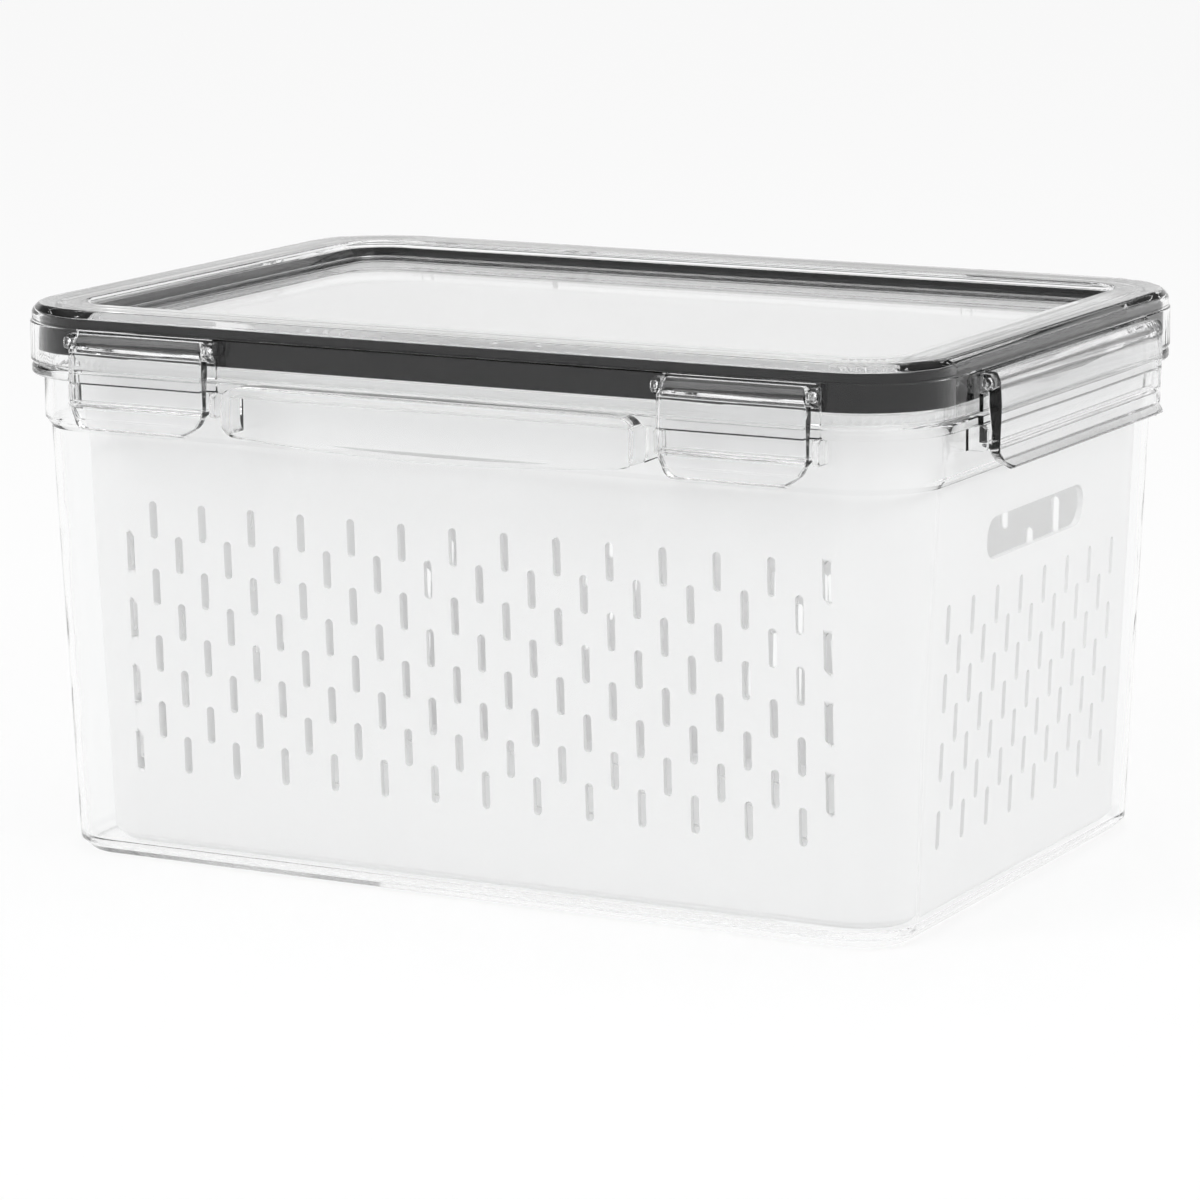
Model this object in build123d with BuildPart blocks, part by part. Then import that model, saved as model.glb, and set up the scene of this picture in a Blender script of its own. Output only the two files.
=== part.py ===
from build123d import *
from math import atan, degrees
import os

# Lid, whose outline in plan every ring of the keeper is set in from
lid_length = 325.0
lid_width = 225.0
lid_corner = 32.0
lid_top = 180.0
lid_wall = 2.8
lid_edge = 2.4
skirt_drop = 18.3
skirt_wall = 2.6
bead_drop = 5.8
bead_step = 0.6
ring_width = 18.6
recess_depth = 5.4
recess_slope = 1.0
recess_edge = 0.8
panel_wall = 2.2
rib_inset = 8.8
rib_wall = 1.8
rib_drop = 15.4

# Gasket
gasket_width = 5.6
gasket_height = 11.6
gasket_groove_width = 1.8
gasket_groove_depth = 3.0
gasket_play = 0.2

# Bin
base_inset = 12.6
shoulder_inset = 6.3
collar_inset = 4.2
flange_inset = 0.3
shoulder_drop = 39.8
shoulder_rise = 2.8
flange_gap = 1.2
flange_thickness = 3.2
flange_edge = 0.6
rim_gap = 0.2
bin_wall = 2.3
floor_thickness = 2.6
base_edge = 3.4
floor_edge = 2.4

# Grips in the middle of both long sides
grip_length = 145.0
grip_reach = 6.6
grip_wall = 2.4
grip_drop = 12.0
grip_bow = 3.6
grip_corner = 5.0

# Latches, with distances outwards from the lid's outline
latch_short = 49.4
latch_long = 130.0
latch_offset = 104.5
latch_corner = 9.0
latch_tail = 8.2
latch_gap = 0.4
pin_out = 2.3
pin_drop = 9.4
pin_radius = 1.2
pin_play = 0.05
pin_length = 1.9
head_radius = 3.2
ear_width = 2.0
ear_radius = 2.6
notch_depth = 1.2
notch_below = 3.6
notch_above = 3.4
pad_out = 1.2

# Catches on the bin that the latches' hooks close under
catch_depth = 5.3
catch_inner = -0.9
hook_play = 0.3
hook_tip = -0.2
bracket_reach = 2.5
bracket_drop = 7.7
bracket_width = 2.0
bracket_gap = 0.6
bracket_radius = 1.5

# Basket
basket_inset = 15.2
basket_level = 100.0
basket_corner_extra = 6.0
basket_shift = 3.2
basket_wall = 2.0
basket_foot = 4.2
basket_floor = 2.2
basket_gap = 1.2
basket_lip = 2.2
basket_lip_height = 2.4
basket_edge = 2.6
foot_play = 0.2
foot_length = 30.0
foot_width = 8.0
foot_spread_x = 190.0
foot_spread_y = 120.0
slot_length = 12.3
slot_width = 2.8
side_columns = 14
side_pitch = 18.32
side_rows = 4
side_row_pitch = 22.0
side_row_middle = 73.7
end_columns = 8
end_pitch = 18.49
end_rows = 4
end_row_pitch = 21.43
end_row_middle = 63.25
handle_length = 76.0
handle_height = 13.4
handle_corner = 6.0
handle_level = 117.0
drain_length = 20.0
drain_width = 3.0
drain_columns = 7
drain_rows = 5
drain_pitch_x = 36.0
drain_pitch_y = 34.0

# Sizes that follow from those above
shoulder_height = lid_top - shoulder_drop
draft = (base_inset - shoulder_inset) / shoulder_height
wall_taper = degrees(atan(draft))
shoulder_taper = degrees(atan((shoulder_inset - collar_inset) / shoulder_rise))
recess_taper = degrees(atan(recess_slope / recess_depth))
skirt_foot = lid_top - skirt_drop
bead_height = lid_top - bead_drop
rib_foot = lid_top - rib_drop
basket_top = rib_foot - basket_gap
pin_height = lid_top - pin_drop
notch_foot = pin_height - notch_below
notch_top = pin_height + notch_above
panel_top = lid_top - recess_depth
panel_foot = panel_top - panel_wall
plate_foot = lid_top - lid_wall
gasket_outer = skirt_wall + gasket_play
gasket_inner = gasket_outer + gasket_width
gasket_top = plate_foot - gasket_play
gasket_foot = gasket_top - gasket_height
rim_top = gasket_foot - rim_gap
collar_foot = shoulder_height + shoulder_rise
flange_top = skirt_foot - flange_gap
flange_height = flange_top - flange_thickness
catch_foot = flange_height - catch_depth
grip_foot = flange_height - grip_drop
hook_top = catch_foot - hook_play
latch_foot = hook_top - latch_tail
ear_section = [
    (-skirt_wall / 2, notch_foot),
    (pin_out - 1.0, notch_foot),
    (pin_out + ear_radius, pin_height - 1.2),
    (pin_out + ear_radius, pin_height + 1.2),
    (pin_out + 1.2, pin_height + ear_radius),
    (-skirt_wall / 2, pin_height + ear_radius),
]
latch_section = [
    (pin_out + 1.4, pin_height + 2.8),
    (pin_out - 1.2, pin_height + 2.9),
    (pin_out - 2.6, pin_height + 1.6),
    (pin_out - 2.6, pin_height - 1.6),
    (1.7, pin_height - 2.8),
    (1.7, pin_height - 7.1),
    (2.7, hook_top + 4.3),
    (2.7, hook_top),
    (hook_tip, hook_top),
    (hook_tip, hook_top - 0.6),
    (2.3, hook_top - 1.7),
    (3.0, latch_foot + 2.9),
    (6.8, latch_foot),
    (8.7, latch_foot + 0.9),
    (6.1, latch_foot + 3.1),
    (5.5, hook_top - 1.5),
    (6.1, pin_height - 6.8),
    (5.5, pin_height),
]


def ring(inset, corner_extra=0.0, mode=Mode.ADD):
    """The lid's outline, set in by inset, with its corners rounder by corner_extra."""
    return RectangleRounded(
        lid_length - 2 * inset,
        lid_width - 2 * inset,
        lid_corner - inset + corner_extra,
        mode=mode,
    )


def basket_ring(height, inwards):
    """The basket's outer wall at a height, set in by inwards."""
    inset = basket_inset - (height - basket_level) * draft + inwards
    with Locations((basket_shift, 0)):
        return ring(inset, basket_corner_extra)


def inset_of(point):
    """How far a point near the lid's outline lies inside it."""
    over_x = max(abs(point.X) - lid_length / 2 + lid_corner, 0)
    over_y = max(abs(point.Y) - lid_width / 2 + lid_corner, 0)
    return lid_corner - (over_x**2 + over_y**2) ** 0.5


def ring_edges(builder, height, inset):
    """The edges that run round a body at a height and an inset."""
    level = builder.edges().filter_by_position(Axis.Z, height - 0.01, height + 0.01)
    return level.filter_by(lambda edge: abs(inset_of(edge @ 0.5) - inset) < 0.05)


def latch_places():
    """Every latch's name, its length and a plane in the middle of its edge, whose x points outwards."""
    places = []
    for hand, across in (("left", -1), ("right", 1)):
        for face, outwards in (("front", -1), ("back", 1)):
            plane = Plane(
                origin=(across * latch_offset, outwards * lid_width / 2, 0),
                x_dir=(0, outwards, 0),
            )
            places.append((f"latch_{face}_{hand}", latch_short, plane))
        plane = Plane(origin=(across * lid_length / 2, 0, 0), x_dir=(across, 0, 0))
        places.append((f"latch_end_{hand}", latch_long, plane))
    return places


def section(plane, along=0.0):
    """The upright plane across an edge, x outwards and y up, at a distance along it."""
    return Plane(
        origin=plane.origin + plane.y_dir * along,
        x_dir=plane.x_dir,
        z_dir=plane.x_dir.cross(Vector(0, 0, 1)),
    )


def block(inner, outer, foot, top):
    """A rectangle in a section plane."""
    return Polygon((inner, foot), (outer, foot), (outer, top), (inner, top), align=None)


latches = latch_places()


# Bin's hollow, drafted up to the shoulder and upright above it
with BuildPart() as bin_hollow:
    with BuildSketch(Plane.XY.offset(floor_thickness)):
        ring(base_inset - floor_thickness * draft + bin_wall)
    extrude(amount=shoulder_height - floor_thickness, taper=-wall_taper)
    chamfer(bin_hollow.edges().group_by(Axis.Z)[0], length=floor_edge)
    with BuildSketch(Plane.XY.offset(shoulder_height)):
        ring(shoulder_inset + bin_wall)
    extrude(amount=shoulder_rise, taper=-shoulder_taper)
    with BuildSketch(Plane.XY.offset(collar_foot)):
        ring(collar_inset + bin_wall)
    extrude(amount=rim_top - collar_foot)

# Bin: drafted walls, shoulder and collar, with the rim that meets the gasket
with BuildPart() as bin_shell:
    with BuildSketch(Plane.XY):
        ring(base_inset)
    extrude(amount=shoulder_height, taper=-wall_taper)
    chamfer(bin_shell.edges().group_by(Axis.Z)[0], length=base_edge)
    with BuildSketch(Plane.XY.offset(shoulder_height)):
        ring(shoulder_inset)
    extrude(amount=shoulder_rise, taper=-shoulder_taper)
    with BuildSketch(Plane.XY.offset(collar_foot)):
        ring(collar_inset)
    extrude(amount=rim_top - collar_foot)

    # Flange under the lid's skirt
    with BuildSketch(Plane.XY.offset(flange_height)):
        ring(flange_inset)
    extrude(amount=flange_thickness)
    chamfer(ring_edges(bin_shell, flange_top, flange_inset), length=flange_edge)
    chamfer(ring_edges(bin_shell, flange_height, flange_inset), length=flange_edge)

    # Grips, which hang from the flange, bowed along the foot and open below
    for outwards in (-1, 1):
        face = Plane(
            origin=(0, outwards * (lid_width / 2 + grip_reach), 0),
            x_dir=(-outwards, 0, 0),
            z_dir=(0, outwards, 0),
        )
        with BuildSketch(face) as grip_face:
            with BuildLine():
                Polyline(
                    (-grip_length / 2, grip_foot),
                    (-grip_length / 2, flange_top),
                    (grip_length / 2, flange_top),
                    (grip_length / 2, grip_foot),
                )
                ThreePointArc(
                    (grip_length / 2, grip_foot),
                    (0, grip_foot - grip_bow),
                    (-grip_length / 2, grip_foot),
                )
            make_face()
            corners = grip_face.vertices().filter_by(lambda v: v.Z < flange_height)
            fillet(corners, radius=grip_corner)
        extrude(amount=-(grip_reach + collar_inset + bin_wall / 2))
        with BuildSketch(face.offset(-grip_wall)):
            block(
                grip_wall - grip_length / 2,
                grip_length / 2 - grip_wall,
                grip_foot - 2 * grip_bow,
                flange_height,
            )
        extrude(amount=-(grip_reach + collar_inset - grip_wall), mode=Mode.SUBTRACT)

    # Catches under the flange, with a bracket beside each end
    for name, length, plane in latches:
        half = length / 2
        with BuildSketch(section(plane)):
            block(-collar_inset / 2, pad_out, flange_height, flange_top)
        extrude(amount=half + latch_gap + ear_width, both=True)
        with BuildSketch(section(plane)):
            block(catch_inner, pad_out, catch_foot, flange_height)
        extrude(amount=half, both=True)
        for end in (-1, 1):
            along = end * (half + bracket_gap + bracket_width / 2)
            with BuildSketch(section(plane, along)) as bracket:
                block(
                    -collar_inset - bin_wall / 2,
                    bracket_reach,
                    flange_height - bracket_drop,
                    flange_height,
                )
                outermost = bracket.vertices().filter_by(
                    lambda v: v.Z < flange_height - 1 and inset_of(v) < 0
                )
                fillet(outermost, radius=bracket_radius)
            extrude(amount=bracket_width / 2, both=True)
    add(bin_hollow.part, mode=Mode.SUBTRACT)

# Lid: a raised ring round a recessed panel, with a skirt, a gasket channel and the latches' ears
with BuildPart() as lid:
    with BuildSketch(Plane.XY.offset(skirt_foot)):
        ring(0)
    extrude(amount=bead_height - skirt_foot)
    with BuildSketch(Plane.XY.offset(bead_height)):
        ring(bead_step)
    extrude(amount=lid_top - bead_height)
    chamfer(ring_edges(lid, lid_top, bead_step), length=lid_edge)
    with BuildSketch(Plane.XY.offset(panel_top)):
        ring(ring_width + recess_slope)
    extrude(amount=recess_depth, taper=-recess_taper, mode=Mode.SUBTRACT)
    chamfer(ring_edges(lid, lid_top, ring_width), length=recess_edge)
    with BuildSketch(Plane.XY.offset(skirt_foot)):
        ring(skirt_wall)
    extrude(amount=panel_foot - skirt_foot, mode=Mode.SUBTRACT)
    with BuildSketch(Plane.XY.offset(panel_foot)):
        ring(skirt_wall)
        ring(ring_width - panel_wall, mode=Mode.SUBTRACT)
    extrude(amount=plate_foot - panel_foot, mode=Mode.SUBTRACT)

    # Rib that keeps the gasket in its channel
    with BuildSketch(Plane.XY.offset(rib_foot)):
        ring(rib_inset)
        ring(rib_inset + rib_wall, mode=Mode.SUBTRACT)
    extrude(amount=plate_foot - rib_foot)

    # Notch for every latch, a pad below it and an ear with a pin hole at each end
    for name, length, plane in latches:
        half = length / 2
        with BuildSketch(section(plane)):
            block(-notch_depth, ear_radius, notch_foot, notch_top)
        extrude(amount=half + latch_gap, both=True, mode=Mode.SUBTRACT)
        with BuildSketch(section(plane)):
            block(-skirt_wall / 2, pad_out, skirt_foot, notch_foot)
        extrude(amount=half + latch_gap + ear_width, both=True)
        for end in (-1, 1):
            along = end * (half + latch_gap + ear_width / 2)
            with BuildSketch(section(plane, along)):
                Polygon(ear_section, align=None)
            extrude(amount=ear_width / 2, both=True)
            with BuildSketch(section(plane, along)):
                with Locations((pin_out, pin_height)):
                    Circle(pin_radius + pin_play)
            extrude(amount=ear_width / 2, both=True, mode=Mode.SUBTRACT)

# Gasket, grooved above so that it squashes onto the bin's rim
with BuildPart() as gasket:
    with BuildSketch(Plane.XY.offset(gasket_foot)):
        ring(gasket_outer)
        ring(gasket_inner, mode=Mode.SUBTRACT)
    extrude(amount=gasket_height)
    with BuildSketch(Plane.XY.offset(gasket_top - gasket_groove_depth)):
        ring((gasket_outer + gasket_inner - gasket_groove_width) / 2)
        ring((gasket_outer + gasket_inner + gasket_groove_width) / 2, mode=Mode.SUBTRACT)
    extrude(amount=gasket_groove_depth, mode=Mode.SUBTRACT)

# Latches: a head on two pins, a sprung face, a hook inside it and a flared lip to pull
latch_parts = {}
for name, length, plane in latches:
    half = length / 2
    with BuildPart() as latch:
        with BuildSketch(section(plane)):
            with BuildLine():
                Polyline(latch_section, close=True)
            make_face()
        extrude(amount=half, both=True)
        front = Plane(origin=plane.origin, x_dir=plane.y_dir, z_dir=plane.x_dir)
        with BuildSketch(front) as latch_face:
            block(-half, half, latch_foot, pin_height + 2 * head_radius)
            fillet(latch_face.vertices().group_by(Axis.Z)[0], radius=latch_corner)
        extrude(amount=4 * head_radius, both=True, mode=Mode.INTERSECT)
        with BuildSketch(section(plane)):
            with Locations((pin_out, pin_height)):
                Circle(pin_radius)
        extrude(amount=half + pin_length, both=True)
    latch_parts[name] = latch.part

# Basket's hollow
with BuildPart() as basket_hollow:
    with BuildSketch(Plane.XY.offset(basket_foot + basket_floor)):
        basket_ring(basket_foot + basket_floor, basket_wall)
    extrude(amount=basket_top - basket_foot - basket_floor, taper=-wall_taper)
    chamfer(basket_hollow.edges().group_by(Axis.Z)[0], length=basket_edge - basket_wall / 2)

# Basket: drafted walls with a lip round the top, feet, drains, slots and two handle holes
with BuildPart() as basket:
    with BuildSketch(Plane.XY.offset(basket_foot)):
        basket_ring(basket_foot, 0)
    extrude(amount=basket_top - basket_foot, taper=-wall_taper)
    chamfer(basket.edges().group_by(Axis.Z)[0], length=basket_edge)
    with BuildSketch(Plane.XY.offset(basket_top - basket_lip_height)):
        basket_ring(basket_top, -basket_lip)
    extrude(amount=basket_lip_height)
    add(basket_hollow.part, mode=Mode.SUBTRACT)
    with BuildSketch(Plane.XY.offset(floor_thickness + foot_play)):
        with Locations((basket_shift, 0)):
            with GridLocations(foot_spread_x, foot_spread_y, 2, 2):
                Rectangle(foot_length, foot_width)
    extrude(amount=basket_foot + basket_floor / 2 - floor_thickness - foot_play)
    with BuildSketch(Plane.XY):
        with Locations((basket_shift, 0)):
            with GridLocations(drain_pitch_x, drain_pitch_y, drain_columns, drain_rows):
                Rectangle(drain_length, drain_width)
    extrude(amount=basket_foot + 2 * basket_floor, mode=Mode.SUBTRACT)

    # Slots in staggered rows through both long walls
    with BuildSketch(Plane.XZ):
        for step in (-1, 1):
            middle = (
                basket_shift + step * side_pitch / 4,
                side_row_middle + step * side_row_pitch / 4,
            )
            with Locations(middle):
                with GridLocations(side_pitch, side_row_pitch, side_columns, side_rows):
                    Rectangle(slot_width, slot_length)
    extrude(amount=lid_width / 2, both=True, mode=Mode.SUBTRACT)

    # Slots through both ends, one column and one row fewer between the others
    with BuildSketch(Plane.YZ):
        with Locations((0, end_row_middle)):
            for fewer in (0, 1):
                columns = end_columns - fewer
                with GridLocations(end_pitch, end_row_pitch, columns, end_rows - fewer):
                    Rectangle(slot_width, slot_length)
        with Locations((0, handle_level)):
            RectangleRounded(handle_length, handle_height, handle_corner)
    extrude(amount=lid_length / 2, both=True, mode=Mode.SUBTRACT)


pieces = {
    "bin": bin_shell.part,
    "basket": basket.part,
    "lid": lid.part,
    "gasket": gasket.part,
} | latch_parts

os.makedirs("parts", exist_ok=True)
for name, piece in pieces.items():
    piece.label = name
    export_step(piece, f"parts/{name}.step")
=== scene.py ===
from math import cos, pi, radians, sin

import bmesh
import bpy
from mathutils import Matrix, Vector


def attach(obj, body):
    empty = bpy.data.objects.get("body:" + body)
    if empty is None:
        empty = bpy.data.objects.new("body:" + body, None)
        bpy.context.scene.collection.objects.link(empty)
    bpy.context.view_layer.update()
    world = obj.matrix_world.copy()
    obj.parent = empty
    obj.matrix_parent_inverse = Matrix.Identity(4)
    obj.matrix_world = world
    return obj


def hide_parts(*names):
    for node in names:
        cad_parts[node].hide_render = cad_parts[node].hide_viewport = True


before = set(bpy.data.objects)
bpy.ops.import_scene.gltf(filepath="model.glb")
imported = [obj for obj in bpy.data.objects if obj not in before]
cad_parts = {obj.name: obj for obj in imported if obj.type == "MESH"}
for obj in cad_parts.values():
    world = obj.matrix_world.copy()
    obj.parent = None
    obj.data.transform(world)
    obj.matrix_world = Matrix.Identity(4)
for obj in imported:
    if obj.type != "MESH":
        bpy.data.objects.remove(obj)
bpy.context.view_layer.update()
scene = bpy.context.scene
scene.view_settings.view_transform = "Standard"


def material(name, color, roughness, variation=0.03, scale=40.0, bump=0.02, edge_shade=0.0, **sockets):
    """Moulded plastic or rubber: a base colour with slight cloudiness, and a fine surface bump.

    Its edge-shade option paints shade into the colour of surfaces seen edge on: a painted dark edge on clear walls,
    only partly owed to their longer light path."""
    mat = bpy.data.materials.new(name)
    mat.use_nodes = True
    tree = mat.node_tree
    shader = tree.nodes["Principled BSDF"]
    shader.inputs["Roughness"].default_value = roughness
    for socket, value in sockets.items():
        shader.inputs[socket.replace("_", " ")].default_value = value
    coords = tree.nodes.new("ShaderNodeTexCoord")
    noise = tree.nodes.new("ShaderNodeTexNoise")
    noise.inputs["Scale"].default_value = scale
    noise.inputs["Detail"].default_value = 3.0
    ramp = tree.nodes.new("ShaderNodeValToRGB")
    ramp.color_ramp.elements[0].color = [c * (1 - variation) for c in color] + [1]
    ramp.color_ramp.elements[1].color = list(color) + [1]
    tree.links.new(coords.outputs["Object"], noise.inputs["Vector"])
    tree.links.new(noise.outputs["Fac"], ramp.inputs["Fac"])
    tone = ramp.outputs["Color"]
    # Painted edge shade: the base colour darkens on surfaces seen edge on.
    if edge_shade:
        facing = tree.nodes.new("ShaderNodeLayerWeight")
        facing.inputs["Blend"].default_value = 0.5
        edge_shade_amount = tree.nodes.new("ShaderNodeMapRange")
        edge_shade_amount.inputs["From Min"].default_value = 0.84
        edge_shade_amount.inputs["To Min"].default_value = 1.0
        edge_shade_amount.inputs["To Max"].default_value = 1.0 - edge_shade
        shade = tree.nodes.new("ShaderNodeVectorMath")
        shade.operation = "MULTIPLY"
        tree.links.new(facing.outputs["Facing"], edge_shade_amount.inputs["Value"])
        tree.links.new(tone, shade.inputs[0])
        tree.links.new(edge_shade_amount.outputs[0], shade.inputs[1])
        tone = shade.outputs[0]
    tree.links.new(tone, shader.inputs["Base Color"])
    if bump:
        grain = tree.nodes.new("ShaderNodeTexNoise")
        grain.inputs["Scale"].default_value = scale * 30
        relief = tree.nodes.new("ShaderNodeBump")
        relief.inputs["Strength"].default_value = bump
        relief.inputs["Distance"].default_value = 0.0002
        tree.links.new(coords.outputs["Object"], grain.inputs["Vector"])
        tree.links.new(grain.outputs["Fac"], relief.inputs["Height"])
        tree.links.new(relief.outputs["Normal"], shader.inputs["Normal"])
    return mat


# The clear and latch plastics take painted edge shade, 0.6 and 0.5, on surfaces seen edge on.
clear = material("clear_plastic", (0.99, 0.992, 0.992), 0.02, 0.01, 12.0, 0.0, 0.6, Transmission_Weight=1.0, IOR=1.33)
frosted = material("latch_plastic", (0.99, 0.99, 0.992), 0.05, 0.01, 12.0, 0.0, 0.5, Transmission_Weight=1.0, IOR=1.38)
white = material("basket_plastic", (0.88, 0.88, 0.88), 0.42, 0.02, 25.0, 0.05)
black = material("gasket_rubber", (0.004, 0.004, 0.0045), 0.2, 0.2, 60.0, 0.05, Specular_IOR_Level=0.15)

def round_holes(bm, width):
    """Rounds the ends of the basket's slots and drains, whose corner edges run straight through the wall."""
    corners, tight = [], []
    for edge in bm.edges:
        run = edge.verts[1].co - edge.verts[0].co
        low, high = sorted(v.co.z for v in edge.verts)
        wall = 0.012 < low and high < 0.16 and abs(run.z) < 0.0004 and 0.0018 < run.length < 0.0024
        floor_hole = high < 0.0066 and low > 0.0040 and abs(run.z) > 0.0020
        if (wall or floor_hole) and len(edge.link_faces) == 2 and edge.calc_face_angle(0) > radians(60):
            middle = (edge.verts[0].co + edge.verts[1].co) / 2
            past_flat = abs(middle.y) > 0.08 and abs(middle.x - 0.0032) > 0.1246
            (tight if past_flat else corners).append(edge)
    inside = {face for edge in corners + tight for face in edge.link_faces}
    diagonals = [
        e
        for e in bm.edges
        if len(e.link_faces) == 2 and all(f in inside for f in e.link_faces) and e.calc_face_angle(0) < radians(1)
    ]
    bmesh.ops.dissolve_edges(bm, edges=diagonals)
    for edges, offset in ((corners, width), (tight, width / 3)):
        geom = [e for e in edges if e.is_valid]
        bmesh.ops.bevel(bm, geom=geom, offset=offset, segments=3, profile=0.5, affect="EDGES", clamp_overlap=False)


def round_crown(bm):
    """Turns the chamfer round the lid's top into a rounded edge."""
    rims = []
    for edge in bm.edges:
        level = [v.co.z for v in edge.verts]
        high = max(level) - min(level) < 1e-5 and max(level) > 0.1775
        if high and len(edge.link_faces) == 2 and edge.calc_face_angle(0) > radians(25):
            middle = (edge.verts[0].co + edge.verts[1].co) / 2
            if abs(middle.x) > 0.1475 or abs(middle.y) > 0.0975:
                rims.append(edge)
    bmesh.ops.bevel(bm, geom=rims, offset=0.0009, segments=3, profile=0.5, affect="EDGES", clamp_overlap=False)


def moulded(node, body, mat, edge_round, holes=0.0):
    """A CAD solid's shape with its sharp edges rounded and its curved walls shaded smooth."""
    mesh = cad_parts[node].data.copy()
    mesh.name = node + "_moulded"
    mesh.materials.clear()
    bm = bmesh.new()
    bm.from_mesh(mesh)
    bmesh.ops.remove_doubles(bm, verts=bm.verts, dist=2e-6)
    if holes:
        round_holes(bm, holes)
    if node == "lid":
        round_crown(bm)
    bm.to_mesh(mesh)
    bm.free()
    mesh.shade_smooth()
    mesh.set_sharp_from_angle(angle=radians(32))
    piece = bpy.data.objects.new(node + "_moulded", mesh)
    scene.collection.objects.link(piece)
    piece.data.materials.append(mat)
    if edge_round:
        bevel = piece.modifiers.new("edges", "BEVEL")
        bevel.width = edge_round
        bevel.segments = 2
        bevel.limit_method = "ANGLE"
        bevel.angle_limit = radians(32)
        bevel.use_clamp_overlap = False
    flat = piece.modifiers.new("flat faces", "WEIGHTED_NORMAL")
    flat.weight = 100
    flat.keep_sharp = True
    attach(piece, body)
    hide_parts(node)
    return piece


moulded("bin", "bin", clear, 0.0003)
moulded("lid", "lid", clear, 0.0003)
moulded("gasket", "lid", black, 0.0003)
moulded("basket", "basket", white, 0.0, 0.00132)
for name in sorted(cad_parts):
    if name.startswith("latch"):
        moulded(name, name, frosted, 0.00045)

# Camera solved from the photograph
azimuth, elevation, roll = radians(27.909), radians(11.010), radians(-0.281)
back = Vector((sin(azimuth) * cos(elevation), -cos(azimuth) * cos(elevation), sin(elevation)))
right = Vector((cos(azimuth), sin(azimuth), 0))
up = back.cross(right)
right, up = cos(roll) * right + sin(roll) * up, cos(roll) * up - sin(roll) * right
camera = bpy.data.objects.new("camera", bpy.data.cameras.new("camera"))
camera.data.sensor_width = 36
camera.data.lens = 152.46
camera.data.clip_end = 20
axes = Matrix((right, up, back)).transposed().to_4x4()
camera.matrix_world = Matrix.Translation((0.76485, -1.44755, 0.39712)) @ axes
scene.collection.objects.link(camera)
scene.camera = camera


def lamp(name, place, aim, size, power):
    """A square soft light that faces a point."""
    light = bpy.data.lights.new(name, "AREA")
    light.shape = "SQUARE"
    light.size = size
    light.energy = power
    obj = bpy.data.objects.new(name, light)
    obj.location = place
    obj.rotation_euler = (Vector(place) - Vector(aim)).to_track_quat("Z", "Y").to_euler()
    scene.collection.objects.link(obj)


lamp("key", (-1.1, -1.5, 1.5), (0, 0, 0.08), 0.9, 9)
lamp("fill", (1.5, -0.6, 1.1), (0, 0, 0.08), 0.9, 5)
lamp("top", (0.1, 0.3, 1.9), (0, 0, 0.1), 1.1, 5)

# Studio surround: white at the horizon and overhead, with a soft grey band between them
world = bpy.data.worlds.new("studio")
world.use_nodes = True
scene.world = world
nodes, links = world.node_tree.nodes, world.node_tree.links
background = nodes["Background"]
coords = nodes.new("ShaderNodeTexCoord")
split = nodes.new("ShaderNodeSeparateXYZ")
band = nodes.new("ShaderNodeValToRGB")
band.color_ramp.interpolation = "EASE"
stops = [(0.0, 1.0), (0.22, 1.0), (0.36, 0.25), (0.55, 0.25), (0.8, 1.0)]
while len(band.color_ramp.elements) < len(stops):
    band.color_ramp.elements.new(0.5)
for element, (place, level) in zip(band.color_ramp.elements, stops):
    element.position = place
    element.color = (level, level, level, 1)
path = nodes.new("ShaderNodeLightPath")
pick = nodes.new("ShaderNodeMix")
pick.data_type = "RGBA"
pick.inputs[7].default_value = (1, 1, 1, 1)
links.new(coords.outputs["Generated"], split.inputs[0])
links.new(split.outputs["Z"], band.inputs["Fac"])
plain = nodes.new("ShaderNodeMath")
plain.operation = "MAXIMUM"
links.new(path.outputs["Is Diffuse Ray"], plain.inputs[0])
links.new(path.outputs["Diffuse Depth"], plain.inputs[1])
soft = nodes.new("ShaderNodeMix")
soft.data_type = "RGBA"
soft.inputs[7].default_value = (0.82, 0.82, 0.82, 1)
links.new(plain.outputs[0], soft.inputs[0])
links.new(band.outputs["Color"], soft.inputs[6])
links.new(soft.outputs[2], pick.inputs[6])
links.new(path.outputs["Is Camera Ray"], pick.inputs[0])
links.new(pick.outputs[2], background.inputs["Color"])

floor_mesh = bpy.data.meshes.new("floor")
floor_mesh.from_pydata([(-9, -9, 0), (9, -9, 0), (9, 9, 0), (-9, 9, 0)], [], [(0, 1, 2, 3)])
floor = bpy.data.objects.new("floor", floor_mesh)
scene.collection.objects.link(floor)
paper = material("floor", (0.93, 0.93, 0.93), 0.6, 0.01, 3.0, 0.0)
floor.data.materials.append(paper)
nodes, links = paper.node_tree.nodes, paper.node_tree.links
path = nodes.new("ShaderNodeLightPath")
either = nodes.new("ShaderNodeMath")
either.operation = "MAXIMUM"
third = nodes.new("ShaderNodeMath")
third.operation = "MAXIMUM"
share = nodes.new("ShaderNodeMath")
share.operation = "MULTIPLY"
share.inputs[1].default_value = 0.75
glow = nodes.new("ShaderNodeEmission")
mix = nodes.new("ShaderNodeMixShader")
links.new(path.outputs["Is Camera Ray"], either.inputs[0])
links.new(path.outputs["Is Transmission Ray"], either.inputs[1])
links.new(either.outputs[0], third.inputs[0])
links.new(path.outputs["Is Glossy Ray"], third.inputs[1])
links.new(third.outputs[0], share.inputs[0])
links.new(share.outputs[0], mix.inputs[0])
links.new(nodes["Principled BSDF"].outputs[0], mix.inputs[1])
links.new(glow.outputs[0], mix.inputs[2])
links.new(mix.outputs[0], nodes["Material Output"].inputs["Surface"])

scene.cycles.blur_glossy = 0
scene.cycles.max_bounces = 24
scene.cycles.transmission_bounces = 24
scene.cycles.glossy_bounces = 8
